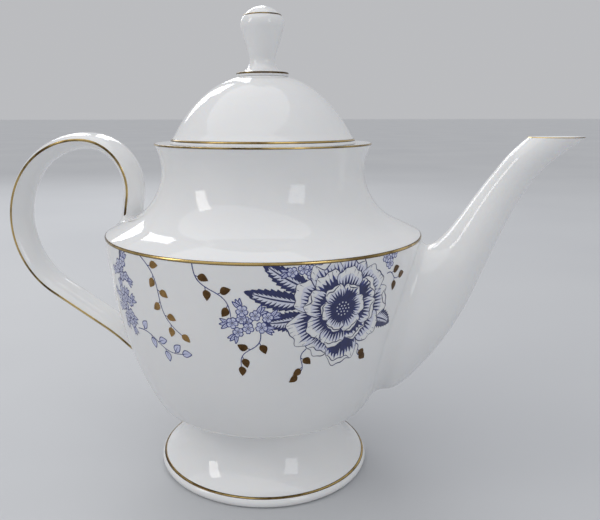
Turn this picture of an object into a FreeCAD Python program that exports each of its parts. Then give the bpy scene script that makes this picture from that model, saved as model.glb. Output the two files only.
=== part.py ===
import FreeCAD, Part
import math
import os

import Sketcher
from FreeCAD import Placement, Rotation, Vector

# A footed porcelain teapot, in millimetres. The origin is the centre of the foot's resting plane, +Z is up, the
# spout points along +X and the handle along -X. Every revolved form turns about Z.

doc = FreeCAD.newDocument("teapot")
sheet = doc.addObject("Spreadsheet::Sheet", "dims")

SIZES = {
    # The pot's outer form, from the underside up to the rim: radius and height of each corner of the outline.
    "base_rad": 45.5, "base_high": 32.2, "turn_rad": 51.6, "turn_high": 35.7,
    "waist_rad": 61.35, "waist_high": 57.7, "belly_rad": 71.4, "belly_high": 112.7,
    "corner_rad": 70.5, "corner_high": 114.2, "slope_rad": 61.6, "slope_high": 118.2,
    "neck_rad": 45.6, "neck_high": 142.2, "lip_rad": 48.2, "lip_high": 152.2,
    "crest_rad": 47.4, "crest_high": 152.9, "seat_rad": 42.2, "seat_high": 152.5,
    # The shallow bed round the belly's corner that its band lies in.
    "bed_rad": 70.8, "bed_top_rad": 70.24, "bed_top_high": 113.66, "arc_bed": 1.0,
    # Radii of the arcs between those corners.
    "arc_turn": 7.0, "arc_lower": 119.5, "arc_belly": 207.0, "arc_corner": 1.6,
    "arc_neck": 26.1, "arc_flare": 21.6, "arc_lip": 0.62,
    # The cavity, a wall's thickness inside the form, and the mouth that the lid's collar drops into.
    "wall": 3.2, "floor_rad": 45.5, "floor_high": 35.4, "in_turn_rad": 48.82, "in_turn_high": 37.3,
    "in_waist_rad": 58.31, "in_waist_high": 58.7, "in_belly_rad": 68.2, "in_belly_high": 109.6,
    "in_corner_rad": 66.0, "in_corner_high": 112.7, "in_slope_rad": 60.3, "in_slope_high": 115.2,
    "in_neck_rad": 42.4, "in_lip_rad": 43.1, "in_lip_high": 148.2, "in_arc_corner": 3.4,
    "mouth_rad": 37.6, "gallery_high": 149.3, "mouth_top": 154.0,
    # The hollow pedestal foot.
    "rest_rad": 47.9, "rest_inner_rad": 44.5, "bead_rad": 48.9, "bead_high": 4.6, "arc_bead": 2.38,
    "stem_rad": 36.1, "stem_high": 26.8, "arc_stem": 25.63, "collar_rad": 38.8, "collar_high": 31.5,
    "arc_collar": 5.4, "stem_inner_rad": 32.5, "rest_inner_high": 3.2, "arc_stem_inner": 29.2,
    # The lid: a dome with a collar that drops into the mouth.
    "brim_rad": 41.4, "brim_high": 153.4, "dome_foot_rad": 38.6, "dome_foot_high": 157.25,
    "dome_mid_rad": 28.4, "dome_mid_high": 170.76, "dome_top_rad": 11.1, "dome_top_high": 181.0,
    "arc_brim": 20.2, "arc_dome_low": 52.5, "arc_dome_high": 38.0, "dome_wall": 2.8,
    "dome_in_rad": 26.5, "dome_in_high": 168.7, "dome_in_top_rad": 10.4, "dome_in_top_high": 178.25,
    "collar_out_rad": 36.9, "collar_in_rad": 34.4, "collar_low": 143.5, "collar_in_high": 159.0,
    "vent_rad": 1.4, "vent_out": 20.0,
    # The finial, from its disc up over the neck and the bulb to the cap.
    "disc_rad": 11.4, "disc_edge": 182.1, "disc_top_rad": 10.8, "disc_top": 182.8, "arc_disc": 0.75,
    "knob_neck_rad": 5.78, "knob_neck_high": 189.35, "arc_knob_neck": 5.2,
    "bulb_low_rad": 9.41, "bulb_low_high": 201.0, "bulb_top_rad": 8.0, "bulb_top_high": 206.3,
    "arc_bulb": 5.5, "knob_top": 210.0,
    # The handle: a strap of lens section swept along arcs that touch each other.
    "strap_width": 18.6, "strap_out": 3.3, "strap_in": 4.5, "strap_edge": 0.8,
    "path_start_x": 49.75, "path_start_z": 39.2, "path_rise": 38.5, "path_root": 26.0,
    "path_sway": 77.0, "path_sway_turn": 8.6, "path_back": 32.6, "path_loop": 40.5, "path_loop_turn": 153.8,
    "path_curl": 22.9, "path_curl_turn": 96.0, "path_end": 17.0,
    # The spout's wall and the level of its mouth; its sections are in SPOUT below.
    "spout_wall": 2.4, "spout_mouth": 156.0,
    # The strainer: holes through the pot's wall behind the spout, on rings round a middle one.
    "strain_rad": 2.5, "strain_step": 9.5, "strain_high": 84.0, "strain_from": 55.0, "strain_long": 20.0,
    # Gilding: how far it stands on the glaze, and each band's width.
    "gild": 0.2, "gild_deep": 0.8, "gild_line": 0.35,
    "foot_gilt_out": 49.4, "foot_gilt_low": 4.45, "foot_gilt_in": 48.15, "foot_gilt_high": 5.25,
    "lid_gilt_out": 41.52, "lid_gilt_low": 153.45, "lid_gilt_in": 40.45, "lid_gilt_high": 154.85,
    "cap_gilt_out": 8.68, "cap_gilt_low": 205.7, "cap_gilt_in": 7.6, "cap_gilt_high": 206.95,
}

# Spout sections from the root to the mouth: the upper edge's X and Z, the lower edge's X and Z, the half width.
SPOUT = [
    (59.0, 106.5, 46.0, 44.0, 23.0),
    (69.5, 108.5, 62.0, 42.5, 23.5),
    (76.0, 110.3, 78.0, 59.3, 18.5),
    (81.2, 115.0, 90.4, 80.5, 13.5),
    (86.6, 122.5, 99.3, 104.0, 10.6),
    (92.8, 132.3, 106.3, 122.4, 8.2),
    (98.7, 141.0, 112.2, 134.6, 7.3),
    (105.0, 149.6, 119.7, 145.0, 7.3),
    (114.0, 158.6, 133.6, 156.6, 7.2),
]

STRAINER_RINGS = [(0, 1), (1, 6)]


def row_of(index):
    return index % 60 + 1


def column_of(index):
    return "ACEG"[index // 60]


for index, (name, size) in enumerate(SIZES.items()):
    cell = f"{column_of(index)}{row_of(index)}"
    sheet.set(cell, str(size))
    sheet.setAlias(cell, name)

SPOUT_EDGES = ("top_x", "top_z", "low_x", "low_z", "half")
for station, section in enumerate(SPOUT):
    for edge, size in zip(SPOUT_EDGES, section):
        index = len(SIZES)
        SIZES[f"spout_{edge}_{station}"] = size
        cell = f"{column_of(index)}{row_of(index)}"
        sheet.set(cell, str(size))
        sheet.setAlias(cell, f"spout_{edge}_{station}")
doc.recompute()


def value(terms):
    """The number that a sum of cells gives. A term is a cell's name, with - before it to take it away."""
    total = 0.0
    for term in terms.split():
        total += -SIZES[term[1:]] if term.startswith("-") else SIZES[term]
    return total


def formula(terms):
    """The same sum as an expression on the sheet."""
    text = ""
    for term in terms.split():
        text += f" - dims.{term[1:]}" if term.startswith("-") else f" + dims.{term}"
    return text.strip(" +") if not text.startswith(" -") else text


def bind(item, prop, terms):
    item.setExpression(prop, formula(terms))


def origin_plane(body, role):
    return [plane for plane in body.Origin.OriginFeatures if plane.Role == role][0]


def centre_of(start, end, radius, side):
    """Centre of the arc from start to end, on the left of the way there when side is 1, else on the right."""
    middle = (start + end) * 0.5
    along = end - start
    half = along.Length / 2
    across = Vector(-along.y, along.x, 0).normalize()
    return middle + across * side * math.sqrt(max(radius * radius - half * half, 0))


def crown_radius(start, end):
    """Radius of the arc that leaves start and meets the axis squarely at end."""
    rise = end.y - start.y
    return (start.x ** 2 + rise ** 2) / (2 * rise)


def add_edge(sketch, start, end, radius, side):
    """One edge of an outline, straight when its radius is 0. Returns its number and which end of it is which."""
    if not radius:
        number = sketch.addGeometry(Part.LineSegment(start, end))
        return number, 1, 2
    centre = centre_of(start, end, radius, side)
    first, last = (start, end) if side > 0 else (end, start)
    a0 = math.atan2(first.y - centre.y, first.x - centre.x)
    a1 = math.atan2(last.y - centre.y, last.x - centre.x)
    if a1 <= a0:
        a1 += 2 * math.pi
    circle = Part.Circle(centre, Vector(0, 0, 1), radius)
    number = sketch.addGeometry(Part.ArcOfCircle(circle, a0, a1))
    return (number, 1, 2) if side > 0 else (number, 2, 1)


def pin(sketch, number, end, direction, terms):
    """Holds one coordinate of a point at a sum of cells."""
    size = value(terms)
    kind = "DistanceX" if direction == "x" else "DistanceY"
    constraint = sketch.addConstraint(Sketcher.Constraint(kind, number, end, size))
    sketch.setExpression(f"Constraints[{constraint}]", formula(terms))


def outline(sketch, corners):
    """Closed outline through corners. Each is (x, y, arc, side): the cells that give the corner, and the arc that
    leads on from it, an empty name for a straight edge, or "crown" for the arc that closes a top on the axis. An
    empty x is the axis, an empty y the ground."""
    points = [Vector(value(x), value(y), 0) for x, y, arc, side in corners]
    edges = []
    for index, (x, y, arc, side) in enumerate(corners):
        following = points[(index + 1) % len(points)]
        radius = crown_radius(points[index], following) if arc == "crown" else value(arc)
        edges.append(add_edge(sketch, points[index], following, radius, side))
    for index, (x, y, arc, side) in enumerate(corners):
        number, start, end = edges[index]
        before, _, before_end = edges[index - 1]
        sketch.addConstraint(Sketcher.Constraint("Coincident", before, before_end, number, start))
        if x:
            pin(sketch, number, start, "x", x)
        else:
            sketch.addConstraint(Sketcher.Constraint("PointOnObject", number, start, -2))
        if y:
            pin(sketch, number, start, "y", y)
        else:
            sketch.addConstraint(Sketcher.Constraint("PointOnObject", number, start, -1))
        if arc == "crown":
            sketch.addConstraint(Sketcher.Constraint("PointOnObject", number, 3, -2))
        elif arc:
            constraint = sketch.addConstraint(Sketcher.Constraint("Radius", number, value(arc)))
            sketch.setExpression(f"Constraints[{constraint}]", formula(arc))


def turned(name, corners):
    """A body turned about Z from an outline in the XZ plane."""
    body = doc.addObject("PartDesign::Body", name)
    sketch = body.newObject("Sketcher::SketchObject", f"{name}_outline")
    sketch.AttachmentSupport = [(origin_plane(body, "XZ_Plane"), "")]
    sketch.MapMode = "FlatFace"
    outline(sketch, corners)
    doc.recompute()
    turn = body.newObject("PartDesign::Revolution", f"{name}_turn")
    turn.Profile = sketch
    turn.ReferenceAxis = (sketch, ["V_Axis"])
    turn.Angle = 360
    doc.recompute()
    return body


def cut(name, base, tool):
    result = doc.addObject("Part::Cut", name)
    result.Base = base
    result.Tool = tool
    result.Refine = True
    return result


# The pot: a solid outer form, a cavity, and the strainer behind the spout.

pot_form = turned("pot_form", [
    ("", "base_high", "", 0),
    ("base_rad", "base_high", "arc_turn", 1),
    ("turn_rad", "turn_high", "arc_lower", 1),
    ("waist_rad", "waist_high", "arc_belly", 1),
    ("belly_rad", "belly_high", "", 0),
    ("bed_rad", "belly_high", "arc_bed", 1),
    ("bed_top_rad", "bed_top_high", "", 0),
    ("corner_rad", "corner_high", "", 0),
    ("slope_rad", "slope_high", "arc_neck", -1),
    ("neck_rad", "neck_high", "arc_flare", -1),
    ("lip_rad", "lip_high", "arc_lip", 1),
    ("crest_rad", "crest_high", "", 0),
    ("seat_rad", "seat_high", "", 0),
    ("", "seat_high", "", 0),
])
pot_hollow = turned("pot_hollow", [
    ("", "floor_high", "", 0),
    ("floor_rad", "floor_high", "arc_turn -wall", 1),
    ("in_turn_rad", "in_turn_high", "arc_lower -wall", 1),
    ("in_waist_rad", "in_waist_high", "arc_belly -wall", 1),
    ("in_belly_rad", "in_belly_high", "in_arc_corner", 1),
    ("in_corner_rad", "in_corner_high", "", 0),
    ("in_slope_rad", "in_slope_high", "arc_neck wall", -1),
    ("in_neck_rad", "neck_high", "arc_flare wall", -1),
    ("in_lip_rad", "in_lip_high", "", 0),
    ("mouth_rad", "gallery_high", "", 0),
    ("mouth_rad", "mouth_top", "", 0),
    ("", "mouth_top", "", 0),
])
pot_shell = cut("pot_shell", pot_form, pot_hollow)

strainer_pins = []
for ring, count in STRAINER_RINGS:
    for step in range(count):
        angle = 2 * math.pi * step / count
        pin_hole = doc.addObject("Part::Cylinder", f"strainer_pin_{ring}_{step}")
        bind(pin_hole, "Radius", "strain_rad")
        bind(pin_hole, "Height", "strain_long")
        pin_hole.Placement = Placement(Vector(0, 0, 0), Rotation(Vector(0, 1, 0), 90))
        across = ring * math.sin(angle)
        raised = ring * math.cos(angle)
        bind(pin_hole, "Placement.Base.x", "strain_from")
        pin_hole.setExpression("Placement.Base.y", f"{across:.4f} * dims.strain_step")
        pin_hole.setExpression("Placement.Base.z", f"dims.strain_high + {raised:.4f} * dims.strain_step")
        strainer_pins.append(pin_hole)
strainer = doc.addObject("Part::MultiFuse", "strainer_pins")
strainer.Shapes = strainer_pins
pot_body = cut("pot_body", pot_shell, strainer)

belly_band = turned("belly_band", [
    ("belly_rad gild", "belly_high", "arc_corner gild", 1),
    ("corner_rad", "corner_high gild", "", 0),
    ("corner_rad", "corner_high", "", 0),
    ("bed_top_rad", "bed_top_high", "arc_bed", -1),
    ("bed_rad", "belly_high", "", 0),
])

foot = turned("foot", [
    ("rest_inner_rad", "", "", 0),
    ("rest_rad", "", "arc_bead", 1),
    ("bead_rad", "bead_high", "arc_stem", -1),
    ("stem_rad", "stem_high", "arc_collar", -1),
    ("collar_rad", "collar_high", "", 0),
    ("collar_rad", "base_high", "", 0),
    ("stem_inner_rad", "base_high", "", 0),
    ("stem_inner_rad", "stem_high", "arc_stem_inner", 1),
    ("rest_inner_rad", "rest_inner_high", "", 0),
])

# The lid and its finial.

lid_dome = turned("lid_dome", [
    ("collar_in_rad", "collar_low", "", 0),
    ("collar_out_rad", "collar_low", "", 0),
    ("collar_out_rad", "seat_high", "", 0),
    ("brim_rad", "seat_high", "", 0),
    ("brim_rad", "brim_high", "arc_brim", -1),
    ("dome_foot_rad", "dome_foot_high", "arc_dome_low", 1),
    ("dome_mid_rad", "dome_mid_high", "arc_dome_high", 1),
    ("dome_top_rad", "dome_top_high", "", 0),
    ("", "dome_top_high", "", 0),
    ("", "dome_in_top_high", "", 0),
    ("dome_in_top_rad", "dome_in_top_high", "arc_dome_high -dome_wall", -1),
    ("dome_in_rad", "dome_in_high", "arc_dome_low -dome_wall", -1),
    ("collar_in_rad", "collar_in_high", "", 0),
])
vent_pin = doc.addObject("Part::Cylinder", "vent_pin")
bind(vent_pin, "Radius", "vent_rad")
bind(vent_pin, "Height", "knob_top")
bind(vent_pin, "Placement.Base.y", "vent_out")
lid = cut("lid", lid_dome, vent_pin)

finial = turned("finial", [
    ("", "dome_top_high", "", 0),
    ("disc_rad", "dome_top_high", "", 0),
    ("disc_rad", "disc_edge", "arc_disc", 1),
    ("disc_top_rad", "disc_top", "arc_knob_neck", -1),
    ("knob_neck_rad", "knob_neck_high", "", 0),
    ("bulb_low_rad", "bulb_low_high", "arc_bulb", 1),
    ("bulb_top_rad", "bulb_top_high", "crown", 1),
    ("", "knob_top", "", 0),
])

# The handle: one path, swept with the strap's lens section and with a thin section for the gilding on each edge.

def add_path(sketch):
    """The handle's centre line in the XZ plane, from inside the pot's wall, out and round, back to the shoulder."""
    place = Vector(-value("path_start_x"), value("path_start_z"), 0)
    heading = math.radians(180 - value("path_rise"))
    steps = [
        ("path_root", "", 0),
        ("path_sway", "path_sway_turn", 1),
        ("path_back", "", 0),
        ("path_loop", "path_loop_turn", -1),
        ("path_curl", "path_curl_turn", -1),
        ("path_end", "", 0),
    ]
    last = None
    for size, turn, side in steps:
        ahead = Vector(math.cos(heading), math.sin(heading), 0)
        if not turn:
            following = place + ahead * value(size)
            number, start, end = add_edge(sketch, place, following, 0, 0)
            constraint = sketch.addConstraint(Sketcher.Constraint("Distance", number, value(size)))
            sketch.setExpression(f"Constraints[{constraint}]", formula(size))
        else:
            swing = math.radians(value(turn))
            centre = place + Vector(-ahead.y, ahead.x, 0) * side * value(size)
            spoke = place - centre
            heading += side * swing
            turned_spoke = Rotation(Vector(0, 0, 1), math.degrees(side * swing)).multVec(spoke)
            following = centre + turned_spoke
            number, start, end = add_edge(sketch, place, following, value(size), side)
            radius = sketch.addConstraint(Sketcher.Constraint("Radius", number, value(size)))
            sketch.setExpression(f"Constraints[{radius}]", formula(size))
            angle = sketch.addConstraint(Sketcher.Constraint("Angle", number, swing))
            sketch.setExpression(f"Constraints[{angle}]", f"dims.{turn} * 1 deg")
        if last is None:
            constraint = sketch.addConstraint(Sketcher.Constraint("DistanceX", number, start, place.x))
            sketch.setExpression(f"Constraints[{constraint}]", "-dims.path_start_x")
            pin(sketch, number, start, "y", "path_start_z")
            constraint = sketch.addConstraint(Sketcher.Constraint("Angle", number, heading))
            sketch.setExpression(f"Constraints[{constraint}]", "180 deg - dims.path_rise * 1 deg")
        else:
            sketch.addConstraint(Sketcher.Constraint("Tangent", last[0], last[1], number, start))
        last = (number, end)
        place = following
    return len(steps)


def swept(name, draw):
    """A body swept along the handle's path. draw puts the section in a sketch whose X is the strap's width and
    whose Y points away from the loop."""
    body = doc.addObject("PartDesign::Body", name)
    path = body.newObject("Sketcher::SketchObject", f"{name}_path")
    path.AttachmentSupport = [(origin_plane(body, "XZ_Plane"), "")]
    path.MapMode = "FlatFace"
    edges = add_path(path)
    section = body.newObject("Sketcher::SketchObject", f"{name}_section")
    section.AttachmentSupport = [(origin_plane(body, "YZ_Plane"), "")]
    section.MapMode = "FlatFace"
    tilt = Rotation(Vector(1, 0, 0), 180 + value("path_rise"))
    section.AttachmentOffset = Placement(Vector(0, value("path_start_z"), -value("path_start_x")), tilt)
    bind(section, "AttachmentOffset.Base.y", "path_start_z")
    section.setExpression("AttachmentOffset.Base.z", "-dims.path_start_x")
    draw(section)
    doc.recompute()
    pipe = body.newObject("PartDesign::AdditivePipe", f"{name}_pipe")
    pipe.Profile = section
    pipe.Spine = (path, [f"Edge{edge + 1}" for edge in range(edges)])
    doc.recompute()
    return body


def strap_section(sketch):
    """A lens with narrow upright edges."""
    half = value("strap_width") / 2
    edge = value("strap_edge")
    corners = [Vector(half, -edge, 0), Vector(half, edge, 0), Vector(-half, edge, 0), Vector(-half, -edge, 0)]
    bulges = ["", "strap_out", "", "strap_in"]
    numbers = []
    for index, bulge in enumerate(bulges):
        start = corners[index]
        end = corners[(index + 1) % 4]
        if not bulge:
            numbers.append(add_edge(sketch, start, end, 0, 0))
            continue
        rise = value(bulge) - edge
        middle = (start + end) * 0.5
        crown = middle + Vector(0, rise if start.y > 0 else -rise, 0)
        number = sketch.addGeometry(Part.Arc(start, crown, end))
        numbers.append((number, 1, 2))
        rise_text = f"(dims.{bulge} - dims.strap_edge)"
        radius = (half * half + rise * rise) / (2 * rise)
        constraint = sketch.addConstraint(Sketcher.Constraint("Radius", number, radius))
        radius_text = f"(dims.strap_width ^ 2 / 4 + {rise_text} ^ 2) / (2 * {rise_text})"
        sketch.setExpression(f"Constraints[{constraint}]", radius_text)
    for index in range(4):
        number, start, end = numbers[index]
        before, _, before_end = numbers[index - 1]
        sketch.addConstraint(Sketcher.Constraint("Coincident", before, before_end, number, start))
        corner = corners[index]
        across = sketch.addConstraint(Sketcher.Constraint("DistanceX", number, start, corner.x))
        sketch.setExpression(f"Constraints[{across}]", f"{'-' if corner.x < 0 else ''}dims.strap_width / 2")
        high = sketch.addConstraint(Sketcher.Constraint("DistanceY", number, start, corner.y))
        sketch.setExpression(f"Constraints[{high}]", f"{'-' if corner.y < 0 else ''}dims.strap_edge")


def line_section(side):
    """Draws the gilding's section on one edge of the strap."""
    def draw(sketch):
        inner = value("strap_width") / 2 - value("gild_deep")
        outer = value("strap_width") / 2 + value("gild")
        high = value("gild_line")
        corners = [(inner, -high), (outer, -high), (outer, high), (inner, high)]
        texts = ["dims.strap_width / 2 - dims.gild_deep", "dims.strap_width / 2 + dims.gild"]
        edges = []
        for index in range(4):
            start = Vector(side * corners[index][0], corners[index][1], 0)
            end = Vector(side * corners[(index + 1) % 4][0], corners[(index + 1) % 4][1], 0)
            edges.append(sketch.addGeometry(Part.LineSegment(start, end)))
        for index in range(4):
            x, y = corners[index]
            number = edges[index]
            sketch.addConstraint(Sketcher.Constraint("Coincident", edges[index - 1], 2, number, 1))
            across = sketch.addConstraint(Sketcher.Constraint("DistanceX", number, 1, side * x))
            text = texts[0] if x == inner else texts[1]
            sketch.setExpression(f"Constraints[{across}]", f"{side} * ({text})")
            level = sketch.addConstraint(Sketcher.Constraint("DistanceY", number, 1, y))
            sketch.setExpression(f"Constraints[{level}]", f"{'-' if y < 0 else ''}dims.gild_line")
    return draw


strap = swept("strap", strap_section)
handle_root = cut("handle_root", strap, pot_form)
handle = cut("handle", handle_root, belly_band)

# The spout: an outer loft through the stations, less an inner one.

def spout_ring(body, name, station, inset):
    """One station's ellipse as four quarter arcs, made smaller all round by the cell inset, if given."""
    top_x, top_z, low_x, low_z, half = (f"spout_{edge}_{station}" for edge in SPOUT_EDGES)
    rise = value(f"{top_z} -{low_z}")
    run = value(f"{top_x} -{low_x}")
    long_half = math.hypot(rise, run) / 2 - value(inset)
    wide_half = value(half) - value(inset)
    sketch = body.newObject("Sketcher::SketchObject", f"{name}_ring_{station}")
    sketch.AttachmentSupport = [(origin_plane(body, "XY_Plane"), "")]
    sketch.MapMode = "FlatFace"
    centre = Vector(value(f"{top_x} {low_x}") / 2, 0, value(f"{top_z} {low_z}") / 2)
    slope = math.degrees(math.atan2(-rise, run))
    sketch.AttachmentOffset = Placement(centre, Rotation(Vector(0, 1, 0), slope))
    sketch.setExpression("AttachmentOffset.Base.x", f"(dims.{top_x} + dims.{low_x}) / 2")
    sketch.setExpression("AttachmentOffset.Base.z", f"(dims.{top_z} + dims.{low_z}) / 2")
    less = f" - dims.{inset}" if inset else ""
    long_text = f"(sqrt((dims.{top_x} - dims.{low_x}) ^ 2 + (dims.{top_z} - dims.{low_z}) ^ 2) / 2{less})"
    wide_text = f"(dims.{half}{less})"
    ellipse = Part.Ellipse(Vector(0, 0, 0), long_half, wide_half)
    arcs = []
    for quarter in range(4):
        first = math.pi / 2 * quarter
        arcs.append(sketch.addGeometry(Part.ArcOfEllipse(ellipse, first, first + math.pi / 2)))
    for quarter, arc in enumerate(arcs):
        on_long_axis = quarter % 2 == 0
        sign = 1 if quarter < 2 else -1
        sketch.addConstraint(Sketcher.Constraint("Coincident", arcs[quarter - 1], 2, arc, 1))
        sketch.addConstraint(Sketcher.Constraint("Coincident", arc, 3, -1, 1))
        sketch.addConstraint(Sketcher.Constraint("PointOnObject", arc, 1, -1 if on_long_axis else -2))
        kind = "DistanceX" if on_long_axis else "DistanceY"
        reach = long_half if on_long_axis else wide_half
        constraint = sketch.addConstraint(Sketcher.Constraint(kind, arc, 1, sign * reach))
        sketch.setExpression(f"Constraints[{constraint}]", f"{sign} * {long_text if on_long_axis else wide_text}")
    return sketch


def add_spout_loft(body, kind, name, inset):
    rings = [spout_ring(body, name, station, inset) for station in range(len(SPOUT))]
    doc.recompute()
    loft = body.newObject(f"PartDesign::{kind}", name)
    loft.Profile = rings[0]
    loft.Sections = rings[1:]
    loft.Ruled = False
    doc.recompute()


spout_form = doc.addObject("PartDesign::Body", "spout_form")
add_spout_loft(spout_form, "AdditiveLoft", "spout_skin", "")
spout_shell = doc.addObject("PartDesign::Body", "spout_shell")
add_spout_loft(spout_shell, "AdditiveLoft", "spout_outside", "")
add_spout_loft(spout_shell, "SubtractiveLoft", "spout_inside", "spout_wall")

MOUTH_REACH = 200
mouth_box = doc.addObject("Part::Box", "mouth_box")
lip_box = doc.addObject("Part::Box", "lip_box")
for box in (mouth_box, lip_box):
    box.Length = MOUTH_REACH
    box.Width = MOUTH_REACH
    box.Placement = Placement(Vector(0, -MOUTH_REACH / 2, 0), Rotation())
    bind(box, "Placement.Base.z", "spout_mouth")
mouth_box.Height = MOUTH_REACH
bind(lip_box, "Height", "gild")
spout_open = cut("spout_open", spout_shell, mouth_box)
spout = cut("spout", spout_open, pot_form)

# The rest of the gilding, each band a thin skin on the glaze.

spout_lip_band = doc.addObject("Part::Common", "spout_lip_band")
spout_lip_band.Base = spout_shell
spout_lip_band.Tool = lip_box

handle_lines = []
for name, side in (("handle_line_front", 1), ("handle_line_back", -1)):
    line_form = swept(f"{name}_form", line_section(side))
    line_skin = cut(f"{name}_skin", line_form, strap)
    handle_lines.append(cut(name, line_skin, pot_form))


def gilt(name, cells, base, into_rad, into_high):
    """A band between two corners just outside the glaze, less the porcelain under it."""
    corners = [
        (f"{cells}_out", f"{cells}_low", "", 0),
        (f"{cells}_in", f"{cells}_high", "", 0),
        (f"{cells}_in {into_rad}", f"{cells}_high {into_high}", "", 0),
        (f"{cells}_out {into_rad}", f"{cells}_low {into_high}", "", 0),
    ]
    return cut(name, turned(f"{name}_form", corners), base)


def edge_gilt(name, edge, edge_high, arc, top, top_high):
    """A band of even thickness on the arc of a rounded edge."""
    return turned(name, [
        (f"{edge} gild", edge_high, f"{arc} gild", 1),
        (top, f"{top_high} gild", "", 0),
        (top, top_high, arc, -1),
        (edge, edge_high, "", 0),
    ])


rim_band = edge_gilt("rim_band", "lip_rad", "lip_high", "arc_lip", "crest_rad", "crest_high")
finial_base_band = edge_gilt("finial_base_band", "disc_rad", "disc_edge", "arc_disc", "disc_top_rad", "disc_top")
foot_band = gilt("foot_band", "foot_gilt", foot, "", "-gild_deep")
lid_band = gilt("lid_band", "lid_gilt", lid_dome, "-gild_deep", "")
finial_top_band = gilt("finial_top_band", "cap_gilt", finial, "-gild_deep", "")

doc.recompute()

NODES = [pot_body, foot, spout, handle, lid, finial, belly_band, foot_band, rim_band, lid_band, finial_base_band,
         finial_top_band, spout_lip_band] + handle_lines
for item in doc.Objects:
    if "Invalid" in item.State or "Error" in item.State:
        raise RuntimeError(f"{item.Name} failed: {item.State}")
os.makedirs("parts", exist_ok=True)
for node in NODES:
    node.Label = node.Name
    shape = node.Shape
    if shape.isNull() or not shape.isValid() or not shape.Solids:
        raise RuntimeError(f"{node.Name} has no valid solid")
    box = shape.BoundBox
    print(f"{node.Name}: {len(shape.Solids)} solid, {shape.Volume:.1f} mm3, "
          f"X {box.XMin:.1f} {box.XMax:.1f}, Y {box.YMin:.1f} {box.YMax:.1f}, Z {box.ZMin:.1f} {box.ZMax:.1f}")
    shape.exportStep(f"parts/{node.Name}.step")
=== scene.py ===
import math
import random

import bpy
import numpy as np
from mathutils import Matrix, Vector
from mathutils.geometry import delaunay_2d_cdt


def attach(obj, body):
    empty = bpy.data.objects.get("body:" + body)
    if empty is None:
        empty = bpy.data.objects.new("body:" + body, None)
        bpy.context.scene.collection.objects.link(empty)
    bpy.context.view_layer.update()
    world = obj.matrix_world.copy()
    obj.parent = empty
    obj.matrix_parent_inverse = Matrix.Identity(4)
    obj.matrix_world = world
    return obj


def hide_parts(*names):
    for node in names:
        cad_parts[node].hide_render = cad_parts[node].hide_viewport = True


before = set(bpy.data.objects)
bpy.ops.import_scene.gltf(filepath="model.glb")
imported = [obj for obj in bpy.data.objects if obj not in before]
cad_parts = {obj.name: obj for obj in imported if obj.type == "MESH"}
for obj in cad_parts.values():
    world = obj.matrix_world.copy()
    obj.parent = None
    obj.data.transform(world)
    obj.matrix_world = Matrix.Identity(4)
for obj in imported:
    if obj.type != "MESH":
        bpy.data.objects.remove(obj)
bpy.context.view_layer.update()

# A footed porcelain teapot with a printed cobalt spray and gilt lines. Outlines are in millimetres, as radius
# and height above the table; meshes are in metres. The spout points along +X and the handle along -X.

MM = 0.001
LATHE_STEPS = 288
ARC_STEP = 0.55
SHARP_FROM = 35.0


# The camera, first.

CAMERA_AWAY = 290.0 * MM
CAMERA_HIGH = 164.4 * MM
CAMERA_DOWN = math.radians(13.858)
CAMERA_ROLL = math.radians(0.16)
SPOUT_FORWARD = math.radians(15.0)
CAMERA_ASIDE = math.radians(0.33)
SENSOR = 36.0
FOCAL = 37.97
SHIFT_X = 0.0559
SHIFT_Y = 0.0200
NEAREST = 0.01


def add_camera():
    data = bpy.data.cameras.new("camera")
    camera = bpy.data.objects.new("camera", data)
    bpy.context.scene.collection.objects.link(camera)
    across, back = math.sin(SPOUT_FORWARD), math.cos(SPOUT_FORWARD)
    camera.location = (CAMERA_AWAY * across, -CAMERA_AWAY * back, CAMERA_HIGH)
    camera.rotation_euler = (math.pi / 2 - CAMERA_DOWN, CAMERA_ROLL, SPOUT_FORWARD - CAMERA_ASIDE)
    data.sensor_width = SENSOR
    data.lens = FOCAL
    data.shift_x = SHIFT_X
    data.shift_y = SHIFT_Y
    data.clip_start = NEAREST
    bpy.context.scene.camera = camera


add_camera()


# Materials.

def new_material(name):
    material = bpy.data.materials.new(name)
    material.use_nodes = True
    nodes = material.node_tree.nodes
    links = material.node_tree.links
    return material, nodes, links, nodes["Principled BSDF"]


def noise(nodes, links, scale, detail, roughness=0.5):
    """A noise field in object space. A larger scale is finer."""
    coordinates = nodes.new("ShaderNodeTexCoord")
    field = nodes.new("ShaderNodeTexNoise")
    field.inputs["Scale"].default_value = scale
    field.inputs["Detail"].default_value = detail
    field.inputs["Roughness"].default_value = roughness
    links.new(coordinates.outputs["Object"], field.inputs["Vector"])
    return field.outputs["Fac"]


def ramp(nodes, links, field, stops):
    """Colours along a field: stops are (place, colour)."""
    node = nodes.new("ShaderNodeValToRGB")
    for index, (place, colour) in enumerate(stops):
        element = node.color_ramp.elements[index] if index < 2 else node.color_ramp.elements.new(place)
        element.position = place
        element.color = (*colour, 1)
    links.new(field, node.inputs["Fac"])
    return node.outputs["Color"]


def span(nodes, links, field, low, high):
    node = nodes.new("ShaderNodeMapRange")
    node.inputs["From Min"].default_value = 0.3
    node.inputs["From Max"].default_value = 0.7
    node.inputs["To Min"].default_value = low
    node.inputs["To Max"].default_value = high
    links.new(field, node.inputs["Value"])
    return node.outputs["Result"]


def add_bump(nodes, links, shader, field, height):
    bump = nodes.new("ShaderNodeBump")
    bump.inputs["Distance"].default_value = height
    bump.inputs["Strength"].default_value = 1.0
    links.new(field, bump.inputs["Height"])
    links.new(bump.outputs["Normal"], shader.inputs["Normal"])


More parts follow.
